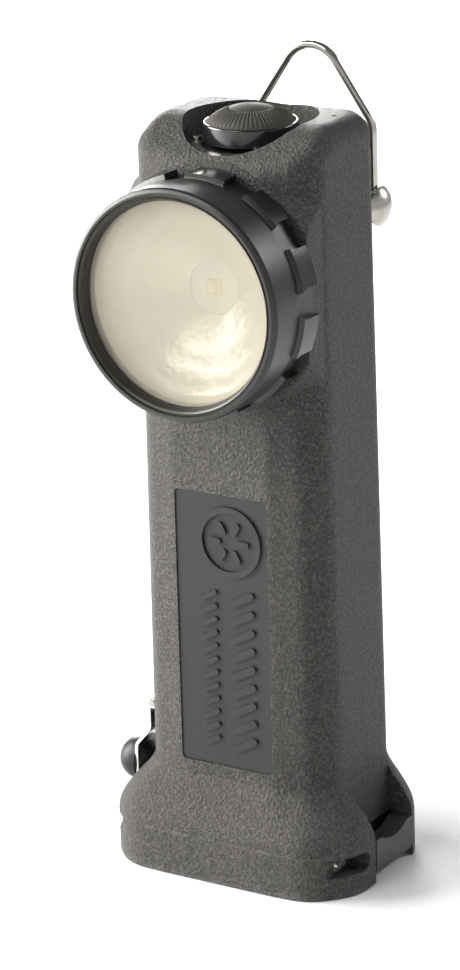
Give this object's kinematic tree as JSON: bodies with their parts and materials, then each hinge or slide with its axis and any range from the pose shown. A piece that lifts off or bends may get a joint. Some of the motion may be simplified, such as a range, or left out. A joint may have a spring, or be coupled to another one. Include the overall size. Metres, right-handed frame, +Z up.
{
  "type": "right-angle flashlight",
  "caption": "Right-angle flashlight with a screw-on lens bezel, top push button, rear ring and belt clip, side spring catch, release lever and a battery pack in a flared base.",
  "frame": {"origin": "on the surface the light stands on, under the middle of the column", "axes": "+Z up the column, the light shines along -Y, +X is across to the side with the release lever"},
  "size_m": [0.0692, 0.0707, 0.1868],
  "materials": {
    "housing_plastic": "coarse moulded grain",
    "panel_plastic": "satin",
    "bezel_plastic": "satin black",
    "black_rubber": "matte",
    "pad_rubber": "fine ribs",
    "lens_clear": "polished",
    "reflector_silver": "textured mirror",
    "emitter_phosphor": "phosphor under a clear dome",
    "board_green": "solder mask",
    "component_black": "moulded packages",
    "sink_aluminium": "bead blasted",
    "screw_steel": "zinc plated",
    "button_plastic": "glossy",
    "plate_steel": "bright rolled sheet",
    "clip_steel": "brushed",
    "spring_steel": "drawn wire",
    "pin_steel": "turned",
    "ring_chrome": "polished wire",
    "leaf_steel": "rolled spring sheet",
    "contact_brass": "plated",
    "lever_plastic": "satin",
    "pack_plastic": "fine moulded grain",
    "cell_sleeve": "shrink sleeve over steel cans",
    "nickel_strip": "rolled strip",
    "lead_insulation": "satin insulation"
  },
  "bodies": {
    "housing": {"housing": "housing_plastic", "front_panel": "panel_plastic", "bezel_o_ring": "black_rubber", "reflector": "reflector_silver", "led_emitter": "emitter_phosphor", "led_board": "board_green", "heat_sink": "sink_aluminium", "led_screws": "screw_steel", "driver_board": "board_green", "driver_parts": "component_black", "board_screws": "screw_steel", "switch_plate": "plate_steel", "switch_screws": "screw_steel", "switch_module": "component_black", "switch_spring": "spring_steel", "stem_seal": "black_rubber", "clip_base": "clip_steel", "clip_pin": "pin_steel", "clip_spring": "spring_steel", "clip_rivets": "pin_steel", "catch_pin": "pin_steel", "release_pin": "pin_steel", "release_spring": "spring_steel", "charge_contacts": "contact_brass", "contact_carrier": "component_black", "contact_springs": "contact_brass", "carrier_screws": "screw_steel", "lead_supply": "lead_insulation", "lead_lamp": "lead_insulation"},
    "lens_unit": {"lens": "lens_clear", "lens_gasket": "black_rubber"},
    "bezel": {"bezel_ring": "bezel_plastic"},
    "button": {"switch_button": "button_plastic", "button_pad": "pad_rubber"},
    "clip": {"clip_lever": "clip_steel"},
    "ring": {"d_ring": "ring_chrome"},
    "catch": {"catch_leaf": "leaf_steel", "catch_knob": "black_rubber"},
    "release": {"release_lever": "lever_plastic"},
    "pack": {"pack_foot": "pack_plastic", "pack_seal": "black_rubber", "pack_case_front": "pack_plastic", "pack_case_rear": "pack_plastic", "pack_cap": "pack_plastic", "battery_cells": "cell_sleeve", "cell_straps": "nickel_strip", "pack_contacts": "contact_brass"}
  },
  "joints": [
    {"name": "lens_advance", "type": "slide", "parent": "housing", "child": "lens_unit", "axis": [0, -1, 0], "range_m": [0, 0.0045]},
    {"name": "bezel_turn", "type": "hinge", "parent": "lens_unit", "child": "bezel", "pos_m": [0, -0.0276, 0.14], "axis": [0, -1, 0], "range_deg": [0, 1080]},
    {"name": "button_press", "type": "slide", "parent": "housing", "child": "button", "axis": [0, 0, -1], "range_m": [0, 0.0013], "stiffness_N_per_m": 600, "deforming": ["switch_spring"]},
    {"name": "clip_open", "type": "hinge", "parent": "housing", "child": "clip", "pos_m": [0, 0.026, 0.15], "axis": [1, 0, 0], "range_deg": [0, 20], "stiffness_Nm_per_rad": 1.2, "springref_deg": -5.73},
    {"name": "ring_swing", "type": "hinge", "parent": "housing", "child": "ring", "pos_m": [0, 0.026, 0.15], "axis": [1, 0, 0], "range_deg": [-150, 12]},
    {"name": "catch_flex", "type": "hinge", "parent": "housing", "child": "catch", "pos_m": [-0.0249, -0.0075, 0.035], "axis": [0, 1, 0], "range_deg": [0, 8], "stiffness_Nm_per_rad": 0.6},
    {"name": "release_turn", "type": "hinge", "parent": "housing", "child": "release", "pos_m": [0.0295, 0, 0.0036], "axis": [0, 1, 0], "range_deg": [0, 25], "stiffness_Nm_per_rad": 0.08},
    {"name": "pack_slide", "type": "slide", "parent": "housing", "child": "pack", "axis": [0, 0, -1], "range_m": [0, 0.12]}
  ],
  "couplings": [
    {"joint": "lens_advance", "follows": "bezel_turn", "m_per_rad": 0.00023873}
  ]
}
